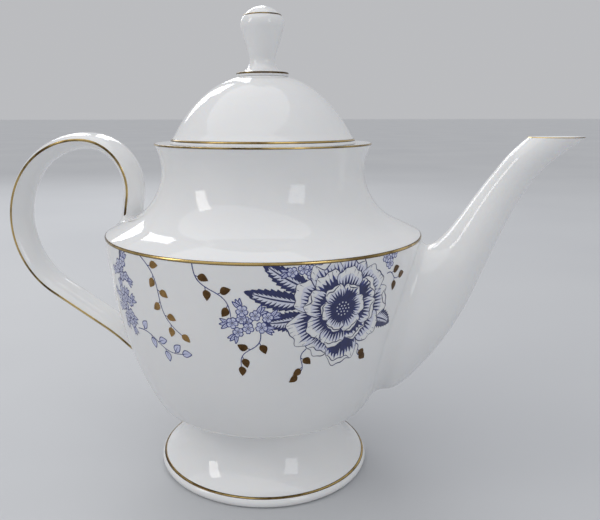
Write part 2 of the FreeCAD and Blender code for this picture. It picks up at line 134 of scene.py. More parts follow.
def glazed(name, stops, cloud, low_rough, high_rough, translucent=0.0):
    """Anything under the glaze: a clouded colour, and the glaze's gloss with its slow ripple."""
    material, nodes, links, shader = new_material(name)
    colour = ramp(nodes, links, noise(nodes, links, cloud, 5), stops)
    links.new(colour, shader.inputs["Base Color"])
    gloss = span(nodes, links, noise(nodes, links, 90, 4), low_rough, high_rough)
    links.new(gloss, shader.inputs["Roughness"])
    shader.inputs["IOR"].default_value = 1.5
    shader.inputs["Coat Weight"].default_value = 0.35
    shader.inputs["Coat Roughness"].default_value = 0.02
    if translucent:
        shader.inputs["Subsurface Weight"].default_value = translucent
        shader.inputs["Subsurface Radius"].default_value = (1.0, 0.85, 0.7)
        shader.inputs["Subsurface Scale"].default_value = 1.6 * MM
    add_bump(nodes, links, shader, noise(nodes, links, 42, 2), 0.035 * MM)
    return material


def gilded(name, stops, low_rough, high_rough, cloud=260):
    """Fired gold, brushed on by hand, with a fine grain; its colour runs brighter and duller along it, and in
    gold's long patches that is a painted reflection.
    """
    material, nodes, links, shader = new_material(name)
    colour = ramp(nodes, links, noise(nodes, links, cloud, 6, 0.6), stops)
    links.new(colour, shader.inputs["Base Color"])
    gloss = span(nodes, links, noise(nodes, links, 700, 4), low_rough, high_rough)
    links.new(gloss, shader.inputs["Roughness"])
    shader.inputs["Metallic"].default_value = 1.0
    add_bump(nodes, links, shader, noise(nodes, links, 1500, 3), 0.01 * MM)
    return material


# Each ends with its cloud's scale and its lowest and highest roughness, and porcelain with its translucence.
porcelain = glazed("porcelain", [(0.25, (0.82, 0.825, 0.83)), (0.75, (0.88, 0.88, 0.875))],
                   22, 0.025, 0.07, 0.25)
biscuit = glazed("biscuit", [(0.3, (0.74, 0.72, 0.68)), (0.7, (0.84, 0.82, 0.78))], 900, 0.5, 0.7)
cobalt = glazed("cobalt_ink", [(0.25, (0.006, 0.010, 0.070)), (0.75, (0.014, 0.023, 0.125))],
                420, 0.06, 0.13)
line_blue = glazed("line_ink", [(0.25, (0.016, 0.025, 0.15)), (0.75, (0.036, 0.050, 0.22))],
                   420, 0.06, 0.13)
wash_blue = glazed("wash_ink", [(0.25, (0.54, 0.57, 0.79)), (0.75, (0.62, 0.65, 0.83))], 300, 0.06, 0.13)
mist_blue = glazed("mist_ink", [(0.25, (0.64, 0.66, 0.78)), (0.75, (0.71, 0.73, 0.82))], 300, 0.06, 0.13)
# Each ends with its lowest and highest roughness, and gold with its cloud's scale.
# gold runs from near black to bright gold over long patches: painted reflection, dark stretches and bright
# glints along the bands, the spout's lip and the handle's lines.
gold = gilded("gold", [(0.42, (0.10, 0.062, 0.022)), (0.60, (0.66, 0.48, 0.19))], 0.10, 0.24, 36)
# The darker gold for the edges of the gilt bands: painted dark reflection.
gold_edge_painted_shade = gilded("gold_edge_painted_shade", [(0.3, (0.06, 0.038, 0.014)), (0.7, (0.17, 0.105, 0.036))], 0.16, 0.30)
gold_leaf = gilded("gold_leaf", [(0.3, (0.075, 0.042, 0.018)), (0.7, (0.19, 0.105, 0.042))], 0.16, 0.34)
# A lighter copy of gold_leaf: painted light on the leaves of the first vine.
gold_leaf_painted_lit = gilded("gold_leaf_painted_lit", [(0.3, (0.22, 0.13, 0.048)), (0.7, (0.44, 0.27, 0.105))], 0.16, 0.34)


# Meshes.

def new_piece(name, points, faces, material, body, replaced, normals=None, sharp=SHARP_FROM):
    """A smooth mesh that rides on a body and stands for the replaced nodes. points are in millimetres. There
    is one normal for each point; without them, edges over sharp degrees stay sharp."""
    mesh = bpy.data.meshes.new(name)
    mesh.from_pydata([tuple(point) for point in np.asarray(points, float) * MM], [], faces)
    mesh.validate()
    mesh.shade_smooth()
    if normals is None:
        mesh.set_sharp_from_angle(angle=math.radians(sharp))
    else:
        mesh.normals_split_custom_set_from_vertices([tuple(normal) for normal in normals])
    mesh.materials.append(material)
    piece = bpy.data.objects.new(name, mesh)
    bpy.context.scene.collection.objects.link(piece)
    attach(piece, body)
    if replaced:
        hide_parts(*replaced)
    return piece


def arc_points(start, end, radius, side):
    """Points from start up to, but without, end. side 1 has the arc's centre on the left of the way."""
    start, end = np.array(start, float), np.array(end, float)
    along = end - start
    half = np.hypot(*along) / 2
    across = np.array([-along[1], along[0]]) / (2 * half)
    centre = (start + end) / 2 + across * side * math.sqrt(max(radius * radius - half * half, 0))
    turn = 2 * math.asin(min(half / radius, 1)) * side
    count = max(3, math.ceil(abs(turn) * radius / ARC_STEP))
    spoke = start - centre
    points = []
    for step in range(count):
        angle = turn * step / count
        cos, sin = math.cos(angle), math.sin(angle)
        turned = [cos * spoke[0] - sin * spoke[1], sin * spoke[0] + cos * spoke[1]]
        points.append(centre + np.array(turned))
    return points


def outline(corners):
    """Dense outline through corners (radius, height, arc radius or 0, side)."""
    points = []
    for index, (rad, high, arc, side) in enumerate(corners[:-1]):
        following = corners[index + 1]
        if arc:
            points += arc_points((rad, high), following[:2], arc, side)
        else:
            points.append(np.array([rad, high], float))
    points.append(np.array(corners[-1][:2], float))
    return np.array(points)


def soften(points, reach):
    """Rounds each sharp corner of an outline, reach millimetres back along both its sides."""
    rounded = [points[0]]
    for before, corner, after in zip(points[:-2], points[1:-1], points[2:]):
        back, ahead = before - corner, after - corner
        long_back, long_ahead = np.hypot(*back), np.hypot(*ahead)
        cosine = -np.dot(back, ahead) / max(long_back * long_ahead, 1e-9)
        if cosine > math.cos(math.radians(20)):
            rounded.append(corner)
            continue
        start = corner + back * min(reach / long_back, 0.45)
        end = corner + ahead * min(reach / long_ahead, 0.45)
        for share in np.linspace(0, 1, 6):
            rounded.append(start * (1 - share) ** 2 + corner * 2 * share * (1 - share) + end * share ** 2)
    rounded.append(points[-1])
    return np.array(rounded)


def lathe(points):
    """Points and faces of an outline turned about Z. A point on the axis is one vertex."""
    vertices, rings = [], []
    for rad, high in points:
        if rad < 1e-6:
            rings.append([len(vertices)] * LATHE_STEPS)
            vertices.append((0.0, 0.0, high))
            continue
        rings.append(list(range(len(vertices), len(vertices) + LATHE_STEPS)))
        for step in range(LATHE_STEPS):
            angle = 2 * math.pi * step / LATHE_STEPS
            vertices.append((rad * math.cos(angle), rad * math.sin(angle), high))
    faces = []
    for low, high in zip(rings[:-1], rings[1:]):
        for step in range(LATHE_STEPS):
            following = (step + 1) % LATHE_STEPS
            corners = [low[step], low[following], high[following], high[step]]
            face = [corner for index, corner in enumerate(corners) if corner != corners[index - 1]]
            if len(face) > 2:
                faces.append(face)
    return vertices, faces


def drill(piece, holes):
    """Cuts round holes through a piece. Each is (start, end, radius) in millimetres."""
    sides = 40
    vertices, faces = [], []
    for start, end, radius in holes:
        start, end = Vector(start), Vector(end)
        turn = (end - start).to_track_quat("Z", "Y")
        first = len(vertices)
        for place in (start, end):
            for side in range(sides):
                angle = 2 * math.pi * side / sides
                spoke = Vector((radius * math.cos(angle), radius * math.sin(angle), 0))
                vertices.append((place + turn @ spoke) * MM)
        faces.append([first + side for side in reversed(range(sides))])
        faces.append([first + sides + side for side in range(sides)])
        for side in range(sides):
            after = (side + 1) % sides
            faces.append([first + side, first + after, first + sides + after, first + sides + side])
    mesh = bpy.data.meshes.new("drill")
    mesh.from_pydata(vertices, [], faces)
    tool = bpy.data.objects.new("drill", mesh)
    bpy.context.scene.collection.objects.link(tool)
    modifier = piece.modifiers.new("drill", "BOOLEAN")
    modifier.operation = "DIFFERENCE"
    modifier.solver = "EXACT"
    modifier.object = tool
    graph = bpy.context.evaluated_depsgraph_get()
    drilled = bpy.data.meshes.new_from_object(piece.evaluated_get(graph))
    piece.modifiers.clear()
    piece.data = drilled
    bpy.data.objects.remove(tool)
    drilled.shade_smooth()
    drilled.set_sharp_from_angle(angle=math.radians(SHARP_FROM))


# The pot's wall: what everything else stands on. Each corner of an outline is its radius and height, then the
# radius of the arc that leads on from it, or 0 for a straight run, and the side that the arc's centre is on.

POT_OUTSIDE = [
    (0, 32.2, 0, 0), (45.5, 32.2, 7.0, 1), (51.6, 35.7, 119.5, 1), (61.35, 57.7, 207.0, 1),
    (71.4, 112.7, 1.6, 1), (70.5, 114.2, 0, 0), (61.6, 118.2, 26.1, -1), (45.6, 142.2, 21.6, -1),
    (48.2, 152.2, 0.62, 1), (47.4, 152.9, 0, 0),
]
POT_INSIDE = [
    (47.4, 152.9, 0, 0), (42.2, 152.5, 0, 0), (37.6, 152.5, 0, 0), (37.6, 149.3, 0, 0),
    (43.1, 148.2, 24.8, 1), (42.4, 142.2, 29.3, 1), (60.3, 115.2, 0, 0), (66.0, 112.7, 3.4, -1),
    (68.2, 109.6, 203.8, -1), (58.31, 58.7, 116.3, -1), (48.82, 37.3, 3.8, -1), (45.5, 35.4, 0, 0),
    (0, 35.4, 0, 0),
]
WALL_LOW = 32.3
WALL_HIGH = 152.3
# The strainer: rings of holes as (ring number, holes), the gap between rings, and where each hole runs.
STRAINER = [(0, 1), (1, 6)]
STRAINER_GAP = 9.5
STRAINER_HIGH = 84.0
STRAINER_FROM = 55.0
STRAINER_TO = 75.0
STRAINER_RAD = 2.5

pot_outside = outline(POT_OUTSIDE)
pot_wall = pot_outside[(pot_outside[:, 1] > WALL_LOW) & (pot_outside[:, 1] < WALL_HIGH)]
wall_slope = np.gradient(pot_wall[:, 0], pot_wall[:, 1])


def wall_rad(high):
    return np.interp(high, pot_wall[:, 1], pot_wall[:, 0])


def wall_normal(angle, high):
    """The glaze's outward normal at an angle round the pot and a height."""
    slope = np.interp(high, pot_wall[:, 1], wall_slope)
    level = 1 / np.sqrt(1 + slope ** 2)
    return np.stack([np.cos(angle) * level, np.sin(angle) * level, -slope * level], -1)


def on_wall(point, lift=0.0):
    """The nearest place on the wall at the same height and angle, and the normal there."""
    angle = math.atan2(point[1], point[0])
    rad = wall_rad(point[2])
    normal = wall_normal(angle, point[2])
    return np.array([rad * math.cos(angle), rad * math.sin(angle), point[2]]) + normal * lift, normal


def make_pot():
    inside = outline(POT_INSIDE)
    points = soften(np.vstack([pot_outside, inside[1:]]), 0.5)
    vertices, faces = lathe(points)
    pot = new_piece("pot_glazed", vertices, faces, porcelain, "pot", ["pot_body"])
    holes = []
    for ring, count in STRAINER:
        for step in range(count):
            angle = 2 * math.pi * step / count
            across = ring * STRAINER_GAP * math.sin(angle)
            high = STRAINER_HIGH + ring * STRAINER_GAP * math.cos(angle)
            holes.append(((STRAINER_FROM, across, high), (STRAINER_TO, across, high), STRAINER_RAD))
    drill(pot, holes)


FOOT = [
    (44.5, 0, 0, 0), (47.9, 0, 2.38, 1), (48.9, 4.6, 25.63, -1), (36.1, 26.8, 5.4, -1),
    (38.8, 31.5, 0, 0), (38.8, 32.2, 0, 0), (32.5, 32.2, 0, 0), (32.5, 26.8, 29.2, 1),
    (44.5, 3.2, 0, 0), (44.5, 0, 0, 0),
]
LID = [
    (34.4, 143.5, 0, 0), (36.9, 143.5, 0, 0), (36.9, 152.5, 0, 0), (41.4, 152.5, 0, 0),
    (41.4, 153.4, 20.2, -1), (38.6, 157.25, 52.5, 1), (28.4, 170.76, 38.0, 1), (11.1, 181.0, 0, 0),
    (0, 181.0, 0, 0), (0, 178.25, 0, 0), (10.4, 178.25, 35.2, -1), (26.5, 168.7, 49.7, -1),
    (34.4, 159.0, 0, 0), (34.4, 143.5, 0, 0),
]
FINIAL = [
    (0, 181.0, 0, 0), (11.4, 181.0, 0, 0), (11.4, 182.1, 0.75, 1), (10.8, 182.8, 5.2, -1),
    (5.78, 189.35, 0, 0), (9.41, 201.0, 5.5, 1), (8.0, 206.3, 10.499, 1), (0, 210.0, 0, 0),
]
BISCUIT_BELOW = 0.25 * MM
VENT = ((0, 20.0, 150.0), (0, 20.0, 190.0), 1.4)


def make_turned(name, corners, body, node, reach=0.4):
    """A turned piece. reach is how far its sharp corners are rounded."""
    points = soften(outline(corners), reach)
    vertices, faces = lathe(points)
    return new_piece(name, vertices, faces, porcelain, body, [node])


make_pot()
foot_glazed = make_turned("foot_glazed", FOOT, "pot", "foot")
foot_glazed.data.materials.append(biscuit)
for face in foot_glazed.data.polygons:
    if face.center.z < BISCUIT_BELOW:
        face.material_index = 1
lid_glazed = make_turned("lid_glazed", LID, "lid", "lid")
drill(lid_glazed, [VENT])
make_turned("finial_glazed", FINIAL, "lid", "finial", 0.2)


# Gilt bands, each a thin skin over a stretch of an outline.

GILT_ROWS = 13
GILT_PROUD = 0.16
GILT_SUNK = 0.02
GILT_DEEP = 0.15


def gilt_ring(name, outline_points, low, high, body, node):
    """A skin over a stretch of an outline, from low to high along it, thin at both edges, where a darker gold
    paints the dark reflection of a rounded band's edges.
    """
    steps = np.hypot(*np.diff(outline_points, axis=0).T)
    along = np.concatenate([[0], np.cumsum(steps)])
    places = np.linspace(low, high, GILT_ROWS)
    centre = np.stack([np.interp(places, along, outline_points[:, axis]) for axis in (0, 1)], -1)
    tangent = np.gradient(centre, axis=0)
    tangent /= np.hypot(*tangent.T)[:, None]
    outward = np.stack([tangent[:, 1], -tangent[:, 0]], -1)
    share = np.linspace(-1, 1, GILT_ROWS)
    lift = GILT_PROUD * (1 - np.abs(share) ** 2.4) - GILT_SUNK * (np.abs(share) > 0.99)
    top = centre + outward * lift[:, None]
    bottom = centre[::-1] - outward[::-1] * GILT_DEEP
    vertices, faces = lathe(np.vstack([top, bottom, top[:1]]))
    band = new_piece(name, vertices, faces, gold, body, [node])
    band.data.materials.append(gold_edge_painted_shade)
    # Rows away from the band's middle take the darker gold: painted dark reflection at its edges.
    for face in band.data.polygons:
        if not 3 <= face.index // LATHE_STEPS <= 8:
            face.material_index = 1


def length_at(points, rad, high):
    """Distance along an outline of its point nearest to a radius and height."""
    steps = np.hypot(*np.diff(points, axis=0).T)
    along = np.concatenate([[0], np.cumsum(steps)])
    dense = np.linspace(0, along[-1], 20000)
    place = np.stack([np.interp(dense, along, points[:, axis]) for axis in (0, 1)], -1)
    return dense[np.argmin(np.hypot(place[:, 0] - rad, place[:, 1] - high))]


# The bands: name, outline, the radius and height of the middle, width, body, replaced node.
GILT_BANDS = [
    ("foot_gilt", FOOT, 49.0, 4.6, 1.25, "pot", "foot_band"),
    ("belly_gilt", POT_OUTSIDE, 71.5, 113.3, 1.35, "pot", "belly_band"),
    ("rim_gilt", POT_OUTSIDE, 48.2, 152.5, 0.95, "pot", "rim_band"),
    ("lid_gilt", LID, 40.7, 154.2, 1.25, "lid", "lid_band"),
    ("finial_base_gilt", FINIAL, 11.3, 182.4, 0.95, "lid", "finial_base_band"),
    ("finial_top_gilt", FINIAL, 8.1, 206.2, 0.85, "lid", "finial_top_band"),
]
for name, corners, rad, high, width, body, node in GILT_BANDS:
    points = outline(corners)
    middle = length_at(points, rad, high)
    gilt_ring(name, points, middle - width / 2, middle + width / 2, body, node)


# Tubes that grow out of the wall: the spout and the handle.

JOIN_LOW = 33
JOIN_HIGH = 151


def away_from_wall(points):
    """How far outside the wall's surface each point is, level with it."""
    level = np.clip(points[..., 2], JOIN_LOW, JOIN_HIGH)
    return np.hypot(points[..., 0], points[..., 1]) - wall_rad(level)


def crossing(line):
    """Place along a line, as a row number with a fraction, where it last leaves the wall."""
    outside = away_from_wall(line)
    row = np.nonzero(outside < 0)[0][-1]
    return row + outside[row] / (outside[row] - outside[row + 1])


def at_row(line, row):
    """A point of a line at a row number with a fraction."""
    low = int(min(max(math.floor(row), 0), len(line) - 2))
    share = row - low
    return line[low] * (1 - share) + line[low + 1] * share


def rows_for(line, row, reach):
    """The row that lies reach millimetres further along a line."""
    place = at_row(line, row)
    low = int(math.floor(row)) + 1
    gone = 0.0
    while low < len(line):
        step = np.linalg.norm(line[low] - place)
        if gone + step >= reach:
            return low - (gone + step - reach) / np.linalg.norm(line[low] - line[low - 1])
        gone += step
        place = line[low]
        low += 1
    return len(line) - 1.0


FLARE_ROWS = 12
FLARE_HOLD = 0.58


def flare(line, middle, reach):
    """The curve that leads from the wall up on to a line, the row where it meets the line, and the wall's
    normal where it starts."""
    row = crossing(line)
    corner = at_row(line, row)
    _, normal = on_wall(corner)
    out = corner - middle
    out -= normal * np.dot(out, normal)
    out /= max(np.linalg.norm(out), 1e-9)
    foot, foot_normal = on_wall(corner + out * reach, 0.01)
    top_row = rows_for(line, row, reach)
    top = at_row(line, top_row)
    ahead = at_row(line, min(top_row + 0.5, len(line) - 1.0)) - at_row(line, top_row - 0.5)
    ahead /= np.linalg.norm(ahead)
    start = corner - foot
    start -= foot_normal * np.dot(start, foot_normal)
    start /= max(np.linalg.norm(start), 1e-9)
    hold = FLARE_HOLD * np.linalg.norm(corner - foot)
    hold_top = FLARE_HOLD * np.linalg.norm(corner - top)
    control = [foot, foot + start * hold, top - ahead * hold_top, top]
    curve = []
    for share in np.linspace(0, 1, FLARE_ROWS, endpoint=False):
        rest = 1 - share
        weights = [rest ** 3, 3 * share * rest ** 2, 3 * share ** 2 * rest, share ** 3]
        curve.append(sum(weight * point for weight, point in zip(weights, control)))
    return np.array(curve), top_row, foot_normal


def grid_normals(grid):
    """Normals of a grid of rows of closed rings."""
    across = np.roll(grid, -1, axis=1) - np.roll(grid, 1, axis=1)
    along = np.gradient(grid, axis=0)
    normals = np.cross(across, along)
    return normals / np.maximum(np.linalg.norm(normals, axis=2, keepdims=True), 1e-12)


def ring_faces(rows, sides, flip):
    """Faces of a grid of rows of closed rings, turned over if flip."""
    faces = []
    for row in range(rows - 1):
        for side in range(sides):
            after = (side + 1) % sides
            low, high = row * sides, (row + 1) * sides
            face = [low + side, low + after, high + after, high + side]
            faces.append(face[::-1] if flip else face)
    return faces


def smooth_through(points, count):
    """A Catmull-Rom curve through rows of values, evenly sampled in its own parameter."""
    points = np.array(points, float)
    padded = np.vstack([2 * points[0] - points[1], points, 2 * points[-1] - points[-2]])
    result = []
    for place in np.linspace(0, len(points) - 1, count):
        low = int(min(place, len(points) - 2))
        share = place - low
        before, start, end, after = padded[low:low + 4]
        result.append(0.5 * (2 * start + (end - before) * share
                             + (2 * before - 5 * start + 4 * end - after) * share ** 2
                             + (3 * start - before - 3 * end + after) * share ** 3))
    return np.array(result)


# Spout sections, root to mouth: the upper edge's X and Z, the lower edge's X and Z, the half width.
SPOUT = [
    (59.0, 106.5, 46.0, 44.0, 23.0), (69.5, 108.5, 62.0, 42.5, 23.5), (76.0, 110.3, 78.0, 59.3, 18.5),
    (81.2, 115.0, 90.4, 80.5, 13.5), (86.6, 122.5, 99.3, 104.0, 10.6), (92.8, 132.3, 106.3, 122.4, 8.2),
    (98.7, 141.0, 112.2, 134.6, 7.3), (105.0, 149.6, 119.7, 145.0, 7.3), (114.0, 158.6, 133.6, 156.6, 7.2),
]
SPOUT_SIDES = 96
SPOUT_ROWS = 240
SPOUT_MOUTH = 156.0
SPOUT_WALL = 2.4
SPOUT_FLARE = 4.2
SPOUT_OUTER_ROWS = 110
SPOUT_INNER_ROWS = 80
LIP_WALL = 1.7
LIP_BELOW = 0.3
LIP_CROWN = 0.34
LIP_GILT = [-0.02, 0.04, 0.05, -0.02]


def spout_lines(wall):
    """Lines along the spout, one for each angle round it, inset by a wall's thickness, and its middle."""
    stations = smooth_through(SPOUT, SPOUT_ROWS)
    top = np.stack([stations[:, 0], 0 * stations[:, 0], stations[:, 1]], -1)
    low = np.stack([stations[:, 2], 0 * stations[:, 2], stations[:, 3]], -1)
    middle = (top + low) / 2
    half = np.linalg.norm(top - low, axis=1)
    upward = (top - low) / half[:, None]
    thick = np.linspace(wall, min(wall, LIP_WALL), SPOUT_ROWS) if wall else np.zeros(SPOUT_ROWS)
    tall = half / 2 - thick
    wide = stations[:, 4] - thick
    lines = []
    for side in range(SPOUT_SIDES):
        angle = 2 * math.pi * side / SPOUT_SIDES
        line = middle + upward * (tall * math.cos(angle))[:, None]
        line[:, 1] += wide * math.sin(angle)
        lines.append(line)
    return lines, middle


def level_row(line, high):
    """The row at which a line first comes up to a height, near its end."""
    above = np.nonzero(line[:, 2] >= high)[0]
    row = above[above > len(line) // 2][0]
    share = (high - line[row - 1, 2]) / (line[row, 2] - line[row - 1, 2])
    return row - 1 + share


def make_spout():
    lines, middle = spout_lines(0)
    inner_lines, _ = spout_lines(SPOUT_WALL)
    columns, root_normals, lip_columns = [], [], []
    for line, inner_line in zip(lines, inner_lines):
        row = crossing(line)
        curve, top_row, normal = flare(line, at_row(middle, row), SPOUT_FLARE)
        root_normals.append(normal)
        end_row = level_row(line, SPOUT_MOUTH - LIP_BELOW)
        outer = [at_row(line, place) for place in np.linspace(top_row, end_row, SPOUT_OUTER_ROWS)]
        inner_end = level_row(inner_line, SPOUT_MOUTH - LIP_BELOW)
        inner_places = np.linspace(inner_end, crossing(inner_line) - 1.5, SPOUT_INNER_ROWS)
        inner = [at_row(inner_line, place) for place in inner_places]
        over = []
        for angle in np.linspace(0, math.pi, 9)[1:-1]:
            share = (1 - math.cos(angle)) / 2
            point = outer[-1] * (1 - share) + inner[0] * share
            point[2] += LIP_CROWN * math.sin(angle)
            over.append(point)
        columns.append(np.vstack([curve, outer, over, inner]))
        shoulder = outer[-1] * 0.75 + outer[-2] * 0.25
        lip_columns.append(np.vstack([shoulder, outer[-1], over[:2]]))
    grid = np.stack(columns, 1)
    normals = grid_normals(grid)
    # The spout's upper edge, side 0, faces up along its middle and at its lip.
    flip = normals[SPOUT_ROWS // 4, 0, 2] < 0
    if flip:
        normals = -normals
    normals[0] = np.array(root_normals)
    faces = ring_faces(len(grid), SPOUT_SIDES, flip)
    new_piece("spout_glazed", grid.reshape(-1, 3), faces, porcelain, "pot", ["spout"],
              normals.reshape(-1, 3))
    lip = np.stack(lip_columns, 1)
    lip_normals = grid_normals(lip)
    if lip_normals[0, 0, 2] < 0:
        lip_normals = -lip_normals
    skin = lip + lip_normals * np.array(LIP_GILT)[:, None, None]
    faces = ring_faces(len(lip), SPOUT_SIDES, flip)
    new_piece("spout_lip_gilt", skin.reshape(-1, 3), faces, gold, "pot", ["spout_lip_band"],
              lip_normals.reshape(-1, 3))


make_spout()

# The handle's centre line: a start point and heading, then runs (length) and bends (radius, degrees, side).
HANDLE_START = (-49.75, 39.2)
HANDLE_RISE = 38.5
HANDLE_STEPS = [
    (26.0, 0, 0), (77.0, 8.6, 1), (32.6, 0, 0), (40.5, 153.8, -1), (22.9, 96.0, -1), (17.0, 0, 0),
]
HANDLE_HALF = 9.3
HANDLE_OUT = 3.3
HANDLE_IN = 4.5
HANDLE_SIDES = 72
HANDLE_ROWS = 260
HANDLE_STEP = 0.8
HANDLE_FLARE = 3.6
HANDLE_GILT_SPREAD = 0.26
HANDLE_GILT_PROUD = 0.06
HANDLE_GILT_SHORT = 2.5


def handle_path():
    """Points and headings along the centre line, at most HANDLE_STEP apart, in the XZ plane."""
    place = np.array(HANDLE_START, float)
    heading = math.radians(180 - HANDLE_RISE)
    points, headings = [], []
    for size, turn, side in HANDLE_STEPS:
        if not turn:
            count = math.ceil(size / HANDLE_STEP)
            ahead = np.array([math.cos(heading), math.sin(heading)])
            for step in range(count):
                points.append(place + ahead * size * step / count)
                headings.append(heading)
            place = place + ahead * size
            continue
        swing = math.radians(turn) * side
        count = math.ceil(size * abs(swing) / HANDLE_STEP)
        centre = place + np.array([-math.sin(heading), math.cos(heading)]) * side * size
        for step in range(count + 1):
            angle = heading + swing * step / count
            spot = centre - np.array([-math.sin(angle), math.cos(angle)]) * side * size
            if step < count:
                points.append(spot)
                headings.append(angle)
        place = spot
        heading += swing
    points.append(place)
    headings.append(heading)
    return np.array(points), np.array(headings)


def handle_lines(lift, angles):
    """Lines along the strap, one for each angle round its lens section, raised by lift, and its middle."""
    points, headings = handle_path()
    middle = np.stack([points[:, 0], 0 * points[:, 0], points[:, 1]], -1)
    outward = np.stack([-np.sin(headings), 0 * headings, np.cos(headings)], -1)
    lines = []
    for angle in angles:
        bulge, side = (HANDLE_OUT, 1) if math.sin(angle) > 0 else (HANDLE_IN, -1)
        line = middle + outward * ((bulge + lift) * abs(math.sin(angle)) ** 1.35 * side)
        line[:, 1] += (HANDLE_HALF + lift) * math.cos(angle)
        lines.append(line)
    return lines, middle


def make_handle():
    angles = [2 * math.pi * (side + 0.5) / HANDLE_SIDES for side in range(HANDLE_SIDES)]
    lines, middle = handle_lines(0.0, angles)
    half_way = len(middle) // 2
    columns, low_normals, high_normals = [], [], []
    for line in lines:
        low_line = line[:half_way]
        high_line = line[half_way:][::-1]
        low_middle = at_row(middle, crossing(low_line))
        low_curve, low_row, low_normal = flare(low_line, low_middle, HANDLE_FLARE)
        high_middle = at_row(middle[half_way:][::-1], crossing(high_line))
        high_curve, high_row, high_normal = flare(high_line, high_middle, HANDLE_FLARE)
        places = np.linspace(low_row, len(line) - 1 - high_row, HANDLE_ROWS)
        between = [at_row(line, place) for place in places]
        columns.append(np.vstack([low_curve, between, high_curve[::-1]]))
        low_normals.append(low_normal)
        high_normals.append(high_normal)
    grid = np.stack(columns, 1)
    normals = grid_normals(grid)
    row, side = HANDLE_ROWS // 2, HANDLE_SIDES // 4
    flip = normals[row, side] @ (grid[row, side] - grid[row].mean(0)) < 0
    if flip:
        normals = -normals
    normals[0] = np.array(low_normals)
    normals[-1] = np.array(high_normals)
    faces = ring_faces(len(grid), HANDLE_SIDES, flip)
    new_piece("handle_glazed", grid.reshape(-1, 3), faces, porcelain, "pot", ["handle"],
              normals.reshape(-1, 3))


def make_handle_line(name, node, centre):
    """Gilding over one edge of the strap, from root to root."""
    shares = np.linspace(-1, 1, 9)
    columns = []
    for share in shares:
        lift = HANDLE_GILT_PROUD if abs(share) < 0.9 else -GILT_SUNK
        lines, _ = handle_lines(lift, [centre + HANDLE_GILT_SPREAD * share])
        line = lines[0]
        half_way = len(line) // 2
        low = crossing(line[:half_way]) + HANDLE_GILT_SHORT
        high = len(line) - 1 - crossing(line[half_way:][::-1]) - HANDLE_GILT_SHORT
        columns.append(np.array([at_row(line, place) for place in np.linspace(low, high, HANDLE_ROWS)]))
    grid = np.stack(columns, 1)
    faces = []
    for row in range(len(grid) - 1):
        low, high = row * len(shares), (row + 1) * len(shares)
        for side in range(len(shares) - 1):
            faces.append([low + side, low + side + 1, high + side + 1, high + side])
    new_piece(name, grid.reshape(-1, 3), faces, gold, "pot", [node], sharp=80)


make_handle()
make_handle_line("handle_gilt_front", "handle_line_front", math.pi)
make_handle_line("handle_gilt_back", "handle_line_back", 0.0)


# The printed spray, drawn flat: x is millimetres round the pot from the spray's middle, y the height.

SPRAY_MIDDLE = math.radians(-80)
SPRAY_SCALE = 70.0
SPRAY_TOP = 112.75
SPRAY_LOW = 62
SPRAY_REACH = 78
SPRAY_GRID = 2.4
INK_PROUD = 0.035
LEAF_PROUD = 0.05
BARE = "bare"


class Spray:
    """Inked shapes, each drawn over the ones before it."""

    def __init__(self):
        self.shapes = []
        self.random = random.Random(7)

    def shape(self, ink, points):
        points = np.array(points, float)
        x, y = points.T
        area = np.sum(x * np.roll(y, -1) - y * np.roll(x, -1))
        self.shapes.append((ink, points if area > 0 else points[::-1]))

    def stroke(self, ink, points, widths):
        """A line with a width at each of its points."""
        points = np.array(points, float)
        widths = np.broadcast_to(np.array(widths, float), (len(points),))
        along = np.gradient(points, axis=0)
        along /= np.maximum(np.hypot(*along.T), 1e-9)[:, None]
        across = np.stack([-along[:, 1], along[:, 0]], -1) * np.maximum(widths, 0.02)[:, None] / 2
        self.shape(ink, np.vstack([points + across, (points - across)[::-1]]))


def polar(base, rad, angle):
    return np.stack([base[0] + rad * np.cos(angle), base[1] + rad * np.sin(angle)], -1)


def fringe(spray, ink, base, aim, spread, rim, hidden, roots, tips, count):
    """A row of tapered strokes out from a petal's covered part. roots and tips are shares of the way to the
    rim, each as lowest and highest."""
    draw = spray.random
    half = spread / count
    points = [polar(base, hidden * 0.9, aim - spread)]
    for step in range(count):
        share = -1 + 2 * (step + 0.5) / count
        place = aim + spread * share
        shown = rim(share) - hidden
        root = hidden + shown * draw.uniform(*roots)
        tip = hidden + shown * draw.uniform(*tips)
        points.append(polar(base, root, place - half * 0.95))
        points.append(polar(base, root * 0.5 + tip * 0.5, place - half * 0.50))
        points.append(polar(base, tip, place + half * draw.uniform(-0.25, 0.25)))
        points.append(polar(base, root * 0.5 + tip * 0.5, place + half * 0.50))
    points.append(polar(base, hidden * 0.9, aim + spread))
    covered = polar(base, hidden * 0.8, np.linspace(aim + spread, aim - spread, 7))
    spray.shape(ink, np.vstack([points, covered]))


